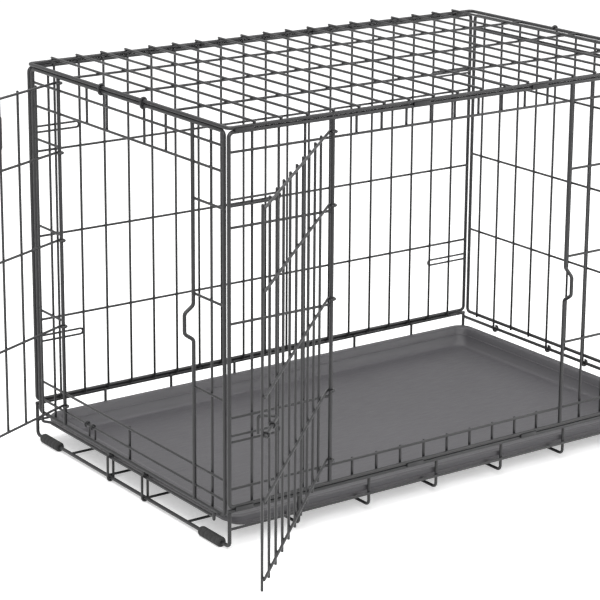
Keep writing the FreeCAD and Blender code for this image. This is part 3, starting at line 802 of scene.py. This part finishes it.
class CRATE_OT_fold_end(PieceOperator, bpy.types.Operator):
    """The end that folds inward about the hinge rail"""

    bl_idname = "crate.fold_end"
    bl_label = "Fold-in end"

    def build(self, k):
        w = k.wires
        bm = bmesh.new()
        x, s = k.frame_x, k.end_side
        hoop(bm, [(x, -s, k.right_low), (x, s, k.right_low), (x, s, k.right_high), (x, -s, k.right_high)],
             w.frame_wire, w.corner_bend)
        low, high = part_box("right_hinge_rail")
        rail_z = (low.z + high.z) / 2
        eye = k.rb + EYE_PLAY + k.rt
        step = CRATE_WIDTH / k.grid.end_gaps
        rows = k.end_rows + [k.band_row]
        for n in range(-5, 6):
            y = n * step
            if abs(n) in (1, 4):
                b = Bender(bm, (x - eye, y, k.right_high + k.rf), (0, 0, -1), w.fill_wire)
                b.run(k.right_high + k.rf - rail_z - b.tip)
                b.turn((x, y, rail_z), (0, -1, 0), EYE_CURL, 16).stop()
            else:
                wire(bm, [(k.end_bar_x, y, k.right_low - k.rf), (k.end_bar_x, y, k.right_high + k.rf)],
                     w.fill_wire)
            end_welds(bm, 1, y, rows + [k.right_low, k.right_high], k)
        for z in rows:
            end_row(bm, k.end_row_x, -s, s, z, k)
        coated(bm, "fold_end_wires", "right_end_panel", ["right_panel_frame", "right_panel_bars",
                "right_panel_hinge_wires", "right_panel_rows"])


# ---- clips and hooks
class CRATE_OT_clips(PieceOperator, bpy.types.Operator):
    """Crimped steel clips that pair the panels' edges with the roof and the base"""

    bl_idname = "crate.clips"
    bl_label = "Edge clips"

    def build(self, k):
        bm = bmesh.new()
        names = ("front_top_clips", "back_top_clips", "front_bottom_clips", "back_bottom_clips")
        play, middle_gaps = 0.00095, (7, 12)
        length = k.pitch - k.rt - k.rf - k.wires.corner_bend - 2 * play
        inner, wall, mouth = k.rf + TOUCH, 0.0012, 0.0026
        corner = k.frame_x - k.wires.corner_bend - play - length / 2
        places = [-corner, corner] + [-CRATE_LENGTH / 2 + (i + 0.5) * k.pitch for i in middle_gaps]
        for name in names:
            sy = -1 if name.startswith("front") else 1
            low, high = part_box(name)
            z_low, z_high = low.z + inner + wall, high.z - inner - wall
            for x in places:
                self.clip(bm, x, sy, sy * k.frame_y, z_low, z_high, length, inner, wall, mouth)
        fit_piece(finished(bm, "edge_clips", finish("clip_steel_black"), math.radians(35)), "crate_box",
                  list(names))

    def clip(self, bm, x, sy, y, z_low, z_high, length, inner, wall, mouth):
        """A strip of sheet wrapped round two wires, with its mouth inside the crate."""
        middle = (z_low + z_high) / 2
        inside = y - sy * inner
        edges = rounded_ring(bm, length / 2, wall / 2, 0.0004, 2,
                             Matrix.Translation((x, inside - sy * wall / 2, middle - mouth / 2)), True)
        drop = middle - mouth / 2 - z_low
        edges = push(bm, edges, Vector((0, 0, -drop)))
        edges = swing(bm, edges, (x, y, z_low), (-sy, 0, 0), math.pi, 10)
        edges = push(bm, edges, Vector((0, 0, z_high - z_low)))
        edges = swing(bm, edges, (x, y, z_high), (-sy, 0, 0), math.pi, 10)
        edges = push(bm, edges, Vector((0, 0, -(z_high - middle - mouth / 2))))
        bmesh.ops.edgeloop_fill(bm, edges=edges)


class CRATE_OT_hooks(PieceOperator, bpy.types.Operator):
    """Hairpin hooks at the ends of the long sides, and the hooks on the roof's ends"""

    bl_idname = "crate.hooks"
    bl_label = "Panel hooks"

    def build(self, k):
        w = k.wires
        bm = bmesh.new()
        hook_y = k.bar_y + k.rt + TOUCH + w.hook_wire / 2
        tip = CRATE_LENGTH / 2 - 2 * k.pitch
        low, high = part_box("left_side_hooks")
        half = 0.004
        heights = (low.z + half + w.hook_wire / 2, high.z - half - w.hook_wire / 2)
        for sx in (-1, 1):
            for sy in (-1, 1):
                for z in heights:
                    b = Bender(bm, (sx * (k.frame_x - k.rf), sy * hook_y, z - half), (-sx, 0, 0), w.hook_wire)
                    b.run(k.frame_x - k.rf - tip - half - b.tip)
                    b.turn((sx * (tip + half), sy * hook_y, z), (0, sx, 0), math.pi, 10)
                    b.run(k.frame_x - k.rf - tip - half - b.tip).stop()
                    for s in (-1, 1):
                        weld(bm, (sx * (k.frame_x - k.rf), sy * hook_y, z + s * half), (1, 0, 0),
                             w.hook_wire * 0.62, w.hook_wire * 0.4)
        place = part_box("left_top_hooks")[1].y - w.hook_wire / 2
        r = k.rf + TOUCH + w.hook_wire / 2
        for sy in (-1, 1):
            y = sy * place
            b = Bender(bm, (-k.frame_x - r, y, k.left_high), (0, 0, 1), w.hook_wire, open_end=True)
            b.run(k.roof_edge - k.left_high).turn((-k.frame_x, y, k.roof_edge), (0, 1, 0), math.pi, 10)
            b.run(k.roof_edge - k.left_high).turn((-k.frame_x, y, k.left_high), (0, 1, 0), math.pi, 10)
            seat = (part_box("right_top_hooks")[1].x - k.frame_x) - w.hook_wire / 2
            b = Bender(bm, (k.frame_x - seat, y, k.roof_edge), (0, 0, 1), w.hook_wire)
            b.turn((k.frame_x, y, k.roof_edge), (0, 1, 0), math.pi, 10)
            b.run(k.roof_edge - (k.right_high - k.rf) - b.tip).stop()
            weld(bm, (k.frame_x, y, k.roof_edge + k.rf), (0, 0, 1), w.hook_wire * 0.6, w.hook_wire * 0.3)
        coated(bm, "panel_hooks", "crate_box", ["left_side_hooks", "right_side_hooks", "left_top_hooks",
                "right_top_hooks"])


# ---- pan, gate and stop
class CRATE_OT_pan(PieceOperator, bpy.types.Operator):
    """The moulded pan: sloping stepped walls, a turned-down rim and a flat floor"""

    bl_idname = "crate.pan"
    bl_label = "Floor pan"

    def build(self, k):
        p = k.pan
        bm = bmesh.new()
        half_x, half_y = PAN_HIGH.x, PAN_HIGH.y
        low, rim = PAN_LOW.z, PAN_HIGH.z
        wall, lip, slope = p.wall, p.lip, p.slope
        rise = rim - low
        step = 0.0018

        def inset_at(z):
            """How far the outer wall stands in from the rim's edge at a height."""
            return lip + slope * (rim - z) / rise

        # the floor and the hollow foot of the wall, from the middle out
        inner = [(wall + 0.012, 0.0), (wall + 0.0062, 0.0), (wall + 0.0030, 0.0006), (wall + 0.0010, 0.0024)]
        rings = []
        floor_in = inset_at(low + wall)
        for more, up in inner:
            rings.append((floor_in + more - wall * 0.1, low + wall + up))
        ledge = low + rise * 0.62
        # the step half way up the inside
        rings += [(inset_at(ledge) + wall + step * 0.5, ledge - 0.0012),
                  (inset_at(ledge) + wall + step * 0.35, ledge),
                  (inset_at(ledge) + wall - step * 0.5, ledge + 0.0004),
                  (inset_at(ledge) + wall - step * 0.75, ledge + 0.0014)]
        # over the rim with its shallow groove, and back under it
        rings += [(lip + wall + 0.0010, rim - 0.0024), (lip + wall - 0.0002, rim - 0.0008),
                  (lip + wall - 0.0016, rim - 0.0001), (lip * 0.62, rim), (lip * 0.52, rim - 0.0004),
                  (lip * 0.40, rim - 0.0004), (lip * 0.30, rim), (0.0020, rim), (0.0007, rim - 0.0005),
                  (0.0, rim - 0.0018), (0.0, rim - 3 * wall + 0.0005), (0.0005, rim - 3 * wall),
                  (wall - 0.0005, rim - 3 * wall), (wall, rim - 3 * wall + 0.0005),
                  (wall, rim - wall - 0.0006), (wall + 0.0012, rim - wall), (lip - 0.0006, rim - wall),
                  (inset_at(rim - wall - 0.001), rim - wall - 0.001)]
        # down the outside to the underside
        rings += [(inset_at(ledge) - step * 0.3, ledge + 0.0014), (inset_at(ledge) + step * 0.6, ledge - 0.0006),
                  (inset_at(low + 0.0030), low + 0.0030), (inset_at(low) + 0.0004, low + 0.0010),
                  (inset_at(low) + 0.0020, low)]
        outline = [(half_x - inset, half_y - inset, max(p.corner - min(inset, p.corner * 0.2), 0.012), z)
                   for inset, z in rings]
        x, y, r, z = outline[0]
        edges = rounded_ring(bm, x, y, r, 8, Matrix.Translation((0, 0, z)))
        bmesh.ops.edgeloop_fill(bm, edges=edges)
        for old, new in zip(outline[:-1], outline[1:]):
            edges = push(bm, edges, Vector())
            for v in loose_verts(edges):
                self.carry(v, old, new)
        bmesh.ops.edgeloop_fill(bm, edges=edges)
        fit_piece(finished(bm, "pan_tray", finish("pan_plastic_grained"), math.radians(38)), "pan",
                  ["pan"])

    def carry(self, v, old, new):
        """Moves a point of one rounded outline to its place on the next."""
        sx, sy = math.copysign(1, v.co.x), math.copysign(1, v.co.y)
        arc = Vector((v.co.x - sx * (old[0] - old[2]), v.co.y - sy * (old[1] - old[2]))) / old[2]
        v.co = (sx * (new[0] - new[2]) + arc.x * new[2], sy * (new[1] - new[2]) + arc.y * new[2], new[3])


class CRATE_OT_gate(PieceOperator, bpy.types.Operator):
    """The bar across the pan's end and the two long links that carry it"""

    bl_idname = "crate.gate"
    bl_label = "Pan gate"

    def build(self, k):
        w = k.wires
        bm = bmesh.new()
        low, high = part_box("pan_gate_bar")
        z, half, tip = low.z + k.rc, high.y - k.rc, 0.010
        out = -k.frame_x - tip * 0.6
        wire(bm, [(out, -half, high.z), (out, -half, z), (-k.frame_x, -half + tip, z),
                  (-k.frame_x, half - tip, z), (out, half, z), (out, half, high.z)], w.cross_wire, 0.003)
        r = k.rb + EYE_PLAY + k.rt
        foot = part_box("base_end_frames")[0].z + k.rb
        for sy in (-1, 1):
            y = sy * k.grid.link_place
            b = Bender(bm, (-k.frame_x - r, y, foot), (0, 0, 1), w.fill_wire, open_end=True)
            b.run(z - foot).turn((-k.frame_x, y, z), (0, 1, 0), math.pi, 10)
            b.run(z - foot).turn((-k.frame_x, y, foot), (0, 1, 0), math.pi, 10)
            weld(bm, (-k.frame_x, y, z + k.rc + 0.0002), (0, 0, 1), k.rt * 1.1, k.rt * 0.7)
        coated(bm, "gate_wires", "pan_gate", ["pan_gate_bar", "pan_gate_links"])


class CRATE_OT_pan_stop(PieceOperator, bpy.types.Operator):
    """The small loop that hangs before the pan's rim"""

    bl_idname = "crate.pan_stop"
    bl_label = "Pan stop"

    def build(self, k):
        bm = bmesh.new()
        thick, half, bend = 0.0026, 0.0075, 0.003
        low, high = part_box("pan_stop")
        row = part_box("left_panel_rows")[0].z + k.rt
        r = k.rt + thick / 2 + 0.0004
        x = -k.end_row_x + r
        y = (low.y + high.y) / 2
        foot = low.z + thick / 2
        for s in (-1, 1):
            b = Bender(bm, (x, y, foot), (0, s, 0), thick, 10, open_end=True)
            b.run(half - bend).turn((x, y + s * (half - bend), foot + bend), (s, 0, 0), math.pi / 2, 5)
            b.run(row - foot - bend)
            b.turn((-k.end_row_x, y + s * half, row), (0, -1, 0), math.radians(245), 12).stop()
        coated(bm, "stop_loop", "pan_stop", ["pan_stop"])


# ---- doors
class DoorPlace:
    """A door's own directions: u from the hinge to the free edge, n outwards."""

    def __init__(self, hinge, closed, open_angle, opening, gaps, k):
        turn = closed - open_angle
        self.hinge = Vector((hinge[0], hinge[1], 0.0))
        self.u = Vector((math.cos(turn), math.sin(turn), 0.0))
        self.n = Vector((math.sin(turn), -math.cos(turn), 0.0))
        self.edge = opening - DOOR_EDGE_GAP
        self.step = self.edge / gaps
        self.gaps = gaps
        self.eye = k.rf + EYE_PLAY + k.rt
        self.bar_n = self.eye + 2 * k.rt + TOUCH
        self.bolt_n = self.bar_n - k.rt - BOLT_SLACK - k.doors.bolt_wire / 2

    def at(self, u, n, z):
        return self.hinge + self.u * u + self.n * n + Vector((0, 0, z))


def door_wires(bm, door, rows, low, high, bolt_z, k):
    """Bars, rows that end in eyes round the post, and the bolt's two rings."""
    w = k.wires
    for i in range(1, door.gaps + 1):
        u = i * door.step
        wire(bm, [door.at(u, door.bar_n, low), door.at(u, door.bar_n, high)], w.fill_wire)
        for z in rows:
            cross_weld(bm, door.at(u, door.eye + k.rt, z), door.n, k)
    for z in rows:
        b = Bender(bm, door.at(door.edge + ROW_OVERHANG, door.eye, z), -door.u, w.fill_wire)
        b.run(door.edge + ROW_OVERHANG - b.tip)
        b.turn(door.hinge + Vector((0, 0, z)), (0, 0, -1), EYE_CURL, 18).stop()
    ring_wire = 0.0024
    ring = k.doors.bolt_wire / 2 + EYE_PLAY + ring_wire / 2
    side = k.rt + ring_wire / 2 + TOUCH
    for u in (door.edge - door.step + side, door.edge - side):
        centre = door.at(u, door.bolt_n, bolt_z)
        b = Bender(bm, centre + door.n * ring, (0, 0, 1), ring_wire, 10, open_end=True)
        b.turn(centre, door.n.cross(Vector((0, 0, 1))), 2 * math.pi, 20)
        way = 1 if u < door.edge - door.step / 2 else -1
        weld(bm, door.at(u - way * side * 0.45, door.bolt_n + ring * 0.75, bolt_z), door.u,
             k.rt * 1.1, k.rt * 0.9)


def bolt_wires(bm, door, z, k):
    """The slide bolt: a rod through the rings, bent out and down into a finger grip."""
    past, length, reach, bend = 0.003, 0.065, 0.022, 0.005
    tip = door.edge + past
    back = tip - length
    wire(bm, [door.at(tip, door.bolt_n, z), door.at(back, door.bolt_n, z),
              door.at(back, door.bolt_n + reach, z), door.at(back, door.bolt_n + reach, z - reach)],
         k.doors.bolt_wire, bend, 14, 7)


def front_door(k):
    return DoorPlace((k.hinge_x, -k.frame_y), 0.0, k.doors.front_open, k.latch_x - k.hinge_x, 10, k)


def end_door(k):
    return DoorPlace((-k.frame_x, k.grid.end_post), -math.pi / 2, k.doors.end_open, 2 * k.grid.end_post, 8, k)


class CRATE_OT_front_door(PieceOperator, bpy.types.Operator):
    """The big door on the long side"""

    bl_idname = "crate.front_door"
    bl_label = "Side door"

    def build(self, k):
        bm = bmesh.new()
        low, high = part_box("front_door_bars")
        door_wires(bm, front_door(k), k.front_door_rows, low.z, high.z, k.front_bolt_z, k)
        coated(bm, "front_door_wires", "front_door", ["front_door_bars", "front_door_hinge_wires",
                "front_bolt_guides"])


class CRATE_OT_end_door(PieceOperator, bpy.types.Operator):
    """The small door on the end"""

    bl_idname = "crate.end_door"
    bl_label = "End door"

    def build(self, k):
        bm = bmesh.new()
        low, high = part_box("end_door_bars")
        door_wires(bm, end_door(k), k.end_door_rows, low.z, high.z, k.end_bolt_z, k)
        coated(bm, "end_door_wires", "end_door", ["end_door_bars", "end_door_hinge_wires",
                "end_bolt_guides"])


class CRATE_OT_bolts(PieceOperator, bpy.types.Operator):
    """The two slide bolts"""

    bl_idname = "crate.bolts"
    bl_label = "Slide bolts"

    def build(self, k):
        for name, door, z in (("front_bolt", front_door(k), k.front_bolt_z),
                              ("end_bolt", end_door(k), k.end_bolt_z)):
            bm = bmesh.new()
            bolt_wires(bm, door, z, k)
            coated(bm, name + "_rod", name, [name])


class CRATE_OT_plate(PieceOperator, bpy.types.Operator):
    """The bare plate on the end door, with a raised edge"""

    bl_idname = "crate.plate"
    bl_label = "Door plate"

    def build(self, k):
        door = end_door(k)
        bm = bmesh.new()
        thick = 0.002
        z = (k.end_door_rows[-2] + k.end_door_rows[-1]) / 2
        at = door.at(k.grid.end_post, door.bar_n + k.rt + TOUCH, z)
        turn = Matrix((door.u, (0, 0, 1), door.n)).transposed().to_4x4()
        rounded_ring(bm, k.doors.plate_length / 2, k.doors.plate_height / 2, 0.005, 6,
                     Matrix.Translation(at) @ turn, True)
        back = bm.faces[:][0]
        made = bmesh.ops.extrude_face_region(bm, geom=[back], use_keep_orig=True)["geom"]
        verts = [g for g in made if isinstance(g, bmesh.types.BMVert)]
        bmesh.ops.translate(bm, verts=verts, vec=door.n * thick)
        front = [g for g in made if isinstance(g, bmesh.types.BMFace)]
        rim = [e for f in front for e in f.edges]
        bmesh.ops.bevel(bm, geom=rim, offset=0.0005, offset_type="OFFSET", segments=3, profile=0.5,
                        affect="EDGES", material=-1)
        front = [max(bm.faces, key=lambda f: f.calc_center_median().dot(door.n) * 1e3 + f.calc_area())]
        bmesh.ops.inset_region(bm, faces=front, thickness=0.003, depth=0.0, use_even_offset=True)
        bmesh.ops.inset_region(bm, faces=front, thickness=0.0005, depth=-0.0006, use_even_offset=True)
        fit_piece(finished(bm, "door_plate", finish("plate_black"), math.radians(35)), "end_door",
                  ["name_plate"])


# ---- stage
# name, place, target, size and power of each lamp, over the ground
LAMPS = (("key_softbox", (-1.9, -2.3, 2.9), (0.0, -0.1, 0.2), 2.2, 95.0),
         ("fill_softbox", (2.4, -1.9, 1.9), (0.1, 0.0, 0.25), 2.4, 48.0),
         ("top_softbox", (0.1, 0.5, 3.0), (0.0, 0.0, 0.1), 2.6, 70.0))
FLOOR_HALF = 30.0
FLOOR_GLOW = 0.42
WORLD_LIGHT = 0.55
CAMERA_PLACE = (-1.804, -2.382, 1.097 + GROUND)
CAMERA_TURN, CAMERA_LIFT, CAMERA_ROLL = -34.546, 14.989, 0.126
CAMERA_LENS, CAMERA_SENSOR = 136.49, 36.0
CAMERA_SHIFT = (0.06, -0.12)
CAMERA_CLIP = (0.1, 60.0)


def ray_share(tree, rays):
    """One where a ray of one of these kinds meets the surface, else nought."""
    path = tree.nodes.new("ShaderNodeLightPath")
    share = path.outputs[rays[0]]
    for ray in rays[1:]:
        both = tree.nodes.new("ShaderNodeMath")
        both.operation = "ADD"
        both.use_clamp = True
        tree.links.new(share, both.inputs[0])
        tree.links.new(path.outputs[ray], both.inputs[1])
        share = both.outputs[0]
    return share


class CRATE_OT_stage(bpy.types.Operator):
    """Pale floor, soft lights and the camera"""

    bl_idname = "crate.stage"
    bl_label = "Studio"
    bl_options = {"REGISTER", "UNDO"}

    def execute(self, context):
        scene = context.scene
        scene.view_settings.view_transform = "Standard"
        self.floor(scene)
        self.world(scene)
        for name, place, target, size, power in LAMPS:
            self.lamp(name, place, target, size, power)
        self.camera(scene)
        return {"FINISHED"}

    def floor(self, scene):
        bm = bmesh.new()
        bmesh.ops.create_grid(bm, x_segments=1, y_segments=1, size=FLOOR_HALF,
                              matrix=Matrix.Translation((0, 0, GROUND)))
        mesh = bpy.data.meshes.new("studio_floor")
        bm.to_mesh(mesh)
        bm.free()
        floor = bpy.data.objects.new("studio_floor", mesh)
        scene.collection.objects.link(floor)
        material = bpy.data.materials.new("studio_floor_white")
        material.use_nodes = True
        tree = material.node_tree
        tree.nodes.clear()
        output = tree.nodes.new("ShaderNodeOutputMaterial")
        matt = tree.nodes.new("ShaderNodeBsdfDiffuse")
        matt.inputs["Color"].default_value = tuple(scene.crate.colours.floor)
        glow = tree.nodes.new("ShaderNodeEmission")
        both = tree.nodes.new("ShaderNodeAddShader")
        share = tree.nodes.new("ShaderNodeMath")
        share.operation = "MULTIPLY"
        share.inputs[1].default_value = FLOOR_GLOW
        tree.links.new(ray_share(tree, ("Is Camera Ray", "Is Glossy Ray")), share.inputs[0])
        tree.links.new(share.outputs[0], glow.inputs["Strength"])
        tree.links.new(matt.outputs[0], both.inputs[0])
        tree.links.new(glow.outputs[0], both.inputs[1])
        tree.links.new(both.outputs[0], output.inputs["Surface"])
        floor.data.materials.append(material)

    def world(self, scene):
        world = bpy.data.worlds.new("studio_white")
        world.use_nodes = True
        tree = world.node_tree
        tree.nodes.clear()
        output = tree.nodes.new("ShaderNodeOutputWorld")
        sky = tree.nodes.new("ShaderNodeBackground")
        seen = ray_share(tree, ("Is Camera Ray", "Is Glossy Ray", "Is Transmission Ray"))
        level = tree.nodes.new("ShaderNodeMapRange")
        level.inputs["To Min"].default_value = WORLD_LIGHT
        level.inputs["To Max"].default_value = 1.0
        tree.links.new(seen, level.inputs["Value"])
        tree.links.new(level.outputs["Result"], sky.inputs["Strength"])
        tree.links.new(sky.outputs[0], output.inputs["Surface"])
        sky.inputs["Color"].default_value = (1.0, 1.0, 1.0, 1.0)
        scene.world = world

    def lamp(self, name, place, target, size, power):
        light = bpy.data.lights.new(name, "AREA")
        light.shape = "SQUARE"
        light.size = size
        light.energy = power
        lamp = bpy.data.objects.new(name, light)
        lamp.location = Vector(place) + Vector((0, 0, GROUND))
        lamp.rotation_euler = (Vector(target) - Vector(place)).to_track_quat("-Z", "Y").to_euler()
        bpy.context.scene.collection.objects.link(lamp)

    def camera(self, scene):
        data = bpy.data.cameras.new("studio_camera")
        data.sensor_width = CAMERA_SENSOR
        data.lens = CAMERA_LENS
        data.shift_x, data.shift_y = CAMERA_SHIFT
        data.clip_start, data.clip_end = CAMERA_CLIP
        camera = bpy.data.objects.new("studio_camera", data)
        scene.collection.objects.link(camera)
        turn, lift, roll = (math.radians(a) for a in (CAMERA_TURN, CAMERA_LIFT, CAMERA_ROLL))
        back = Vector((math.sin(turn) * math.cos(lift), -math.cos(turn) * math.cos(lift), math.sin(lift)))
        right = Vector((math.cos(turn), math.sin(turn), 0.0))
        up = back.cross(right)
        level_right = right * math.cos(roll) + up * math.sin(roll)
        level_up = up * math.cos(roll) - right * math.sin(roll)
        pose = Matrix((level_right, level_up, back)).transposed().to_4x4()
        pose.translation = CAMERA_PLACE
        camera.matrix_world = pose
        scene.camera = camera


class CRATE_PT_panel(bpy.types.Panel):
    """The crate's settings and the buttons that build its pieces"""

    bl_idname = "CRATE_PT_panel"
    bl_label = "Wire dog crate"
    bl_space_type = "VIEW_3D"
    bl_region_type = "UI"
    bl_category = "Crate"

    def draw(self, context):
        crate = context.scene.crate
        for group in (crate.wires, crate.grid, crate.doors, crate.pan, crate.colours):
            box = self.layout.box()
            for key in group.__annotations__:
                box.prop(group, key)
        for operator in OPERATORS:
            self.layout.operator(operator.bl_idname)


GROUPS = (CrateWires, CrateGrid, CrateDoors, CratePan, CrateColours, CrateSettings)
OPERATORS = (CRATE_OT_stage, CRATE_OT_base, CRATE_OT_feet, CRATE_OT_front_panel, CRATE_OT_back_panel,
             CRATE_OT_roof, CRATE_OT_door_end, CRATE_OT_fold_end, CRATE_OT_clips, CRATE_OT_hooks,
             CRATE_OT_pan, CRATE_OT_gate, CRATE_OT_pan_stop, CRATE_OT_front_door, CRATE_OT_end_door,
             CRATE_OT_bolts, CRATE_OT_plate)
CLASSES = GROUPS + OPERATORS + (CRATE_PT_panel,)


def register():
    for cls in CLASSES:
        bpy.utils.register_class(cls)
    bpy.types.Scene.crate = PointerProperty(type=CrateSettings)


def unregister():
    del bpy.types.Scene.crate
    for cls in reversed(CLASSES):
        bpy.utils.unregister_class(cls)


def main():
    register()
    bpy.ops.crate.stage()
    bpy.ops.crate.base()
    bpy.ops.crate.feet()
    bpy.ops.crate.front_panel()
    bpy.ops.crate.back_panel()
    bpy.ops.crate.roof()
    bpy.ops.crate.door_end()
    bpy.ops.crate.fold_end()
    bpy.ops.crate.clips()
    bpy.ops.crate.hooks()
    bpy.ops.crate.pan()
    bpy.ops.crate.gate()
    bpy.ops.crate.pan_stop()
    bpy.ops.crate.front_door()
    bpy.ops.crate.end_door()
    bpy.ops.crate.bolts()
    bpy.ops.crate.plate()


if __name__ == "__main__":
    main()
